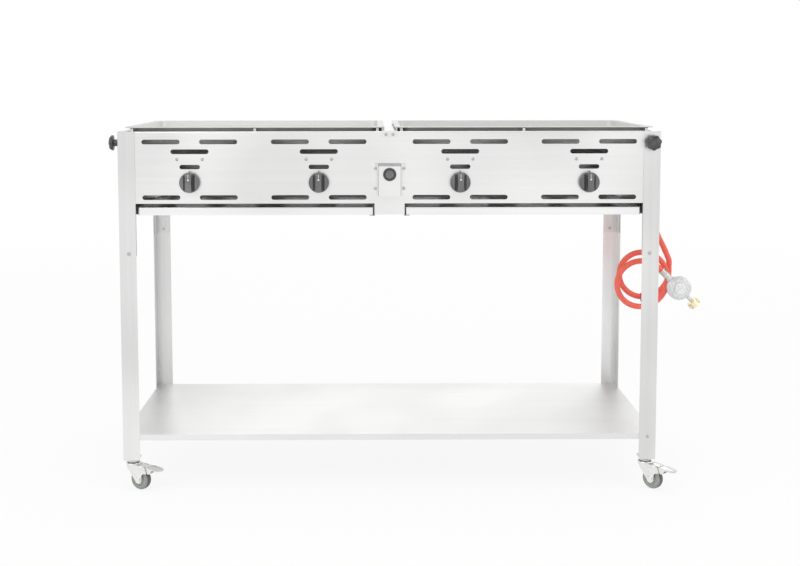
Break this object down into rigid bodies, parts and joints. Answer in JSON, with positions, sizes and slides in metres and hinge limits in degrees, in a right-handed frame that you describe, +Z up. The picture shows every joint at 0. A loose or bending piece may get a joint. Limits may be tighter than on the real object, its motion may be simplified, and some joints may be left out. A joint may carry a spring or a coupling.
{
  "type": "gas grill",
  "caption": "Long stainless gas grill with lift-off pans over tube burners, on an angle-leg trolley with shelf, drip trays, braked casters and coiled hose.",
  "frame": {"origin": "on the floor, under the middle of the trolley", "axes": "+Z up, +Y to the back, +X to the right seen from the knobs"},
  "size_m": [1.4481, 0.578, 0.87],
  "materials": {
    "housing_steel": "brushed stainless sheet, fine horizontal grain",
    "inner_steel": "plain stainless sheet",
    "tray_steel": "brushed stainless sheet",
    "pan_steel": "satin steel cooking surface",
    "zinc_steel": "bright zinc plate",
    "burner_steel": "stainless tube, slightly heat tinted",
    "gas_pipe": "drawn pipe",
    "valve_brass": "cast and turned brass",
    "knob_plastic": "dark moulded plastic",
    "igniter_plastic": "black moulded plastic",
    "electrode_ceramic": "glazed insulator",
    "lead_rubber": "insulated lead",
    "leg_steel": "brushed stainless angle, grain along the leg",
    "star_knob_plastic": "black moulded plastic",
    "caster_zinc": "bright zinc plated pressed steel",
    "wheel_rubber": "grey-green rubber",
    "shelf_steel": "brushed stainless sheet",
    "hose_rubber": "orange-red gas hose",
    "tie_plastic": "black tie",
    "regulator_alloy": "cast alloy",
    "nut_brass": "turned brass"
  },
  "bodies": {
    "root": {"front_panel": "housing_steel", "rear_panel": "housing_steel", "left_side_panel": "housing_steel", "right_side_panel": "housing_steel", "centre_bridge": "housing_steel", "tray_runners": "inner_steel", "pan_studs": "zinc_steel", "burner_1": "burner_steel", "burner_2": "burner_steel", "burner_3": "burner_steel", "burner_4": "burner_steel", "burner_brackets": "inner_steel", "gas_manifold": "gas_pipe", "gas_valves": "valve_brass", "igniter_cover": "housing_steel", "igniter_body": "igniter_plastic", "spark_electrodes": "electrode_ceramic", "ignition_leads": "lead_rubber", "screws_and_pins": "zinc_steel", "leg_front_left": "leg_steel", "leg_front_right": "leg_steel", "leg_rear_right": "leg_steel", "leg_rear_left": "leg_steel", "corner_posts": "inner_steel", "bottom_shelf": "shelf_steel", "inlet_elbow": "valve_brass", "gas_hose": "hose_rubber", "gas_hose_coil": "hose_rubber", "hose_tie": "tie_plastic", "regulator_body": "regulator_alloy"},
    "valve_push_1": {"valve_stem_1": "zinc_steel"},
    "knob_1": {"burner_knob_1": "knob_plastic"},
    "valve_push_2": {"valve_stem_2": "zinc_steel"},
    "knob_2": {"burner_knob_2": "knob_plastic"},
    "valve_push_3": {"valve_stem_3": "zinc_steel"},
    "knob_3": {"burner_knob_3": "knob_plastic"},
    "valve_push_4": {"valve_stem_4": "zinc_steel"},
    "knob_4": {"burner_knob_4": "knob_plastic"},
    "igniter_push": {"igniter_button": "igniter_plastic"},
    "pan_left": {"griddle_pan_left": "pan_steel"},
    "tray_left": {"drip_tray_left": "tray_steel"},
    "pan_right": {"griddle_pan_right": "pan_steel"},
    "tray_right": {"drip_tray_right": "tray_steel"},
    "clamp_front_left": {"star_knob_front_left": "star_knob_plastic"},
    "clamp_front_right": {"star_knob_front_right": "star_knob_plastic"},
    "clamp_rear_right": {"star_knob_rear_right": "star_knob_plastic"},
    "clamp_rear_left": {"star_knob_rear_left": "star_knob_plastic"},
    "swivel_front_left": {"caster_fork_front_left": "caster_zinc"},
    "wheel_front_left": {"caster_wheel_front_left": "wheel_rubber"},
    "brake_front_left": {"caster_brake_front_left": "caster_zinc"},
    "swivel_front_right": {"caster_fork_front_right": "caster_zinc"},
    "wheel_front_right": {"caster_wheel_front_right": "wheel_rubber"},
    "brake_front_right": {"caster_brake_front_right": "caster_zinc"},
    "swivel_rear_right": {"caster_fork_rear_right": "caster_zinc"},
    "wheel_rear_right": {"caster_wheel_rear_right": "wheel_rubber"},
    "brake_rear_right": {"caster_brake_rear_right": "caster_zinc"},
    "swivel_rear_left": {"caster_fork_rear_left": "caster_zinc"},
    "wheel_rear_left": {"caster_wheel_rear_left": "wheel_rubber"},
    "brake_rear_left": {"caster_brake_rear_left": "caster_zinc"},
    "nut": {"regulator_nut": "nut_brass"}
  },
  "joints": [
    {"name": "valve_push_1", "type": "slide", "parent": "root", "child": "valve_push_1", "axis": [0, 1, 0], "range_m": [0, 0.003], "stiffness_N_per_m": 800, "springref_m": -0.002},
    {"name": "knob_turn_1", "type": "hinge", "parent": "valve_push_1", "child": "knob_1", "pos_m": [-0.469, -0.258, 0.74], "axis": [0, -1, 0], "range_deg": [0, 180]},
    {"name": "valve_push_2", "type": "slide", "parent": "root", "child": "valve_push_2", "axis": [0, 1, 0], "range_m": [0, 0.003], "stiffness_N_per_m": 800, "springref_m": -0.002},
    {"name": "knob_turn_2", "type": "hinge", "parent": "valve_push_2", "child": "knob_2", "pos_m": [-0.166, -0.258, 0.74], "axis": [0, -1, 0], "range_deg": [0, 180]},
    {"name": "valve_push_3", "type": "slide", "parent": "root", "child": "valve_push_3", "axis": [0, 1, 0], "range_m": [0, 0.003], "stiffness_N_per_m": 800, "springref_m": -0.002},
    {"name": "knob_turn_3", "type": "hinge", "parent": "valve_push_3", "child": "knob_3", "pos_m": [0.166, -0.258, 0.74], "axis": [0, -1, 0], "range_deg": [0, 180]},
    {"name": "valve_push_4", "type": "slide", "parent": "root", "child": "valve_push_4", "axis": [0, 1, 0], "range_m": [0, 0.003], "stiffness_N_per_m": 800, "springref_m": -0.002},
    {"name": "knob_turn_4", "type": "hinge", "parent": "valve_push_4", "child": "knob_4", "pos_m": [0.469, -0.258, 0.74], "axis": [0, -1, 0], "range_deg": [0, 180]},
    {"name": "igniter_push", "type": "slide", "parent": "root", "child": "igniter_push", "axis": [0, 1, 0], "range_m": [0, 0.005], "stiffness_N_per_m": 600, "springref_m": -0.002},
    {"name": "pan_lift_left", "type": "slide", "parent": "root", "child": "pan_left", "axis": [0, 0, 1], "range_m": [0, 0.15]},
    {"name": "tray_pull_left", "type": "slide", "parent": "root", "child": "tray_left", "axis": [0, -1, 0], "range_m": [0, 0.4]},
    {"name": "pan_lift_right", "type": "slide", "parent": "root", "child": "pan_right", "axis": [0, 0, 1], "range_m": [0, 0.15]},
    {"name": "tray_pull_right", "type": "slide", "parent": "root", "child": "tray_right", "axis": [0, -1, 0], "range_m": [0, 0.4]},
    {"name": "clamp_turn_front_left", "type": "hinge", "parent": "root", "child": "clamp_front_left", "pos_m": [-0.6375, -0.223, 0.832], "axis": [-1, 0, 0], "range_deg": [0, 1080]},
    {"name": "clamp_turn_front_right", "type": "hinge", "parent": "root", "child": "clamp_front_right", "pos_m": [0.6175, -0.243, 0.832], "axis": [0, -1, 0], "range_deg": [0, 1080]},
    {"name": "clamp_turn_rear_right", "type": "hinge", "parent": "root", "child": "clamp_rear_right", "pos_m": [0.6375, 0.223, 0.832], "axis": [1, 0, 0], "range_deg": [0, 1080]},
    {"name": "clamp_turn_rear_left", "type": "hinge", "parent": "root", "child": "clamp_rear_left", "pos_m": [-0.6175, 0.243, 0.832], "axis": [0, 1, 0], "range_deg": [0, 1080]},
    {"name": "swivel_front_left", "type": "hinge", "parent": "root", "child": "swivel_front_left", "pos_m": [-0.6175, -0.223, 0.06], "axis": [0, 0, 1], "continuous": true},
    {"name": "wheel_spin_front_left", "type": "hinge", "parent": "swivel_front_left", "child": "wheel_front_left", "pos_m": [-0.59745, -0.23322, 0.025], "axis": [0.454, 0.891, 0], "continuous": true},
    {"name": "brake_press_front_left", "type": "hinge", "parent": "swivel_front_left", "child": "brake_front_left", "pos_m": [-0.59077, -0.23662, 0.056], "axis": [0.454, 0.891, 0], "range_deg": [0, 10]},
    {"name": "swivel_front_right", "type": "hinge", "parent": "root", "child": "swivel_front_right", "pos_m": [0.6175, -0.223, 0.06], "axis": [0, 0, 1], "continuous": true},
    {"name": "wheel_spin_front_right", "type": "hinge", "parent": "swivel_front_right", "child": "wheel_front_right", "pos_m": [0.63313, -0.23919, 0.025], "axis": [0.7193, 0.6947, 0], "continuous": true},
    {"name": "brake_press_front_right", "type": "hinge", "parent": "swivel_front_right", "child": "brake_front_right", "pos_m": [0.63834, -0.24458, 0.056], "axis": [0.7193, 0.6947, 0], "range_deg": [0, 10]},
    {"name": "swivel_rear_right", "type": "hinge", "parent": "root", "child": "swivel_rear_right", "pos_m": [0.6175, 0.223, 0.06], "axis": [0, 0, 1], "continuous": true},
    {"name": "wheel_spin_rear_right", "type": "hinge", "parent": "swivel_rear_right", "child": "wheel_rear_right", "pos_m": [0.59745, 0.23322, 0.025], "axis": [-0.454, -0.891, 0], "continuous": true},
    {"name": "brake_press_rear_right", "type": "hinge", "parent": "swivel_rear_right", "child": "brake_rear_right", "pos_m": [0.59077, 0.23662, 0.056], "axis": [-0.454, -0.891, 0], "range_deg": [0, 10]},
    {"name": "swivel_rear_left", "type": "hinge", "parent": "root", "child": "swivel_rear_left", "pos_m": [-0.6175, 0.223, 0.06], "axis": [0, 0, 1], "continuous": true},
    {"name": "wheel_spin_rear_left", "type": "hinge", "parent": "swivel_rear_left", "child": "wheel_rear_left", "pos_m": [-0.63313, 0.23919, 0.025], "axis": [-0.7193, -0.6947, 0], "continuous": true},
    {"name": "brake_press_rear_left", "type": "hinge", "parent": "swivel_rear_left", "child": "brake_rear_left", "pos_m": [-0.63834, 0.24458, 0.056], "axis": [-0.7193, -0.6947, 0], "range_deg": [0, 10]},
    {"name": "nut_turn", "type": "hinge", "parent": "root", "child": "nut", "pos_m": [0.713, -0.133, 0.469], "axis": [0.7071, 0, -0.7071], "continuous": true}
  ]
}
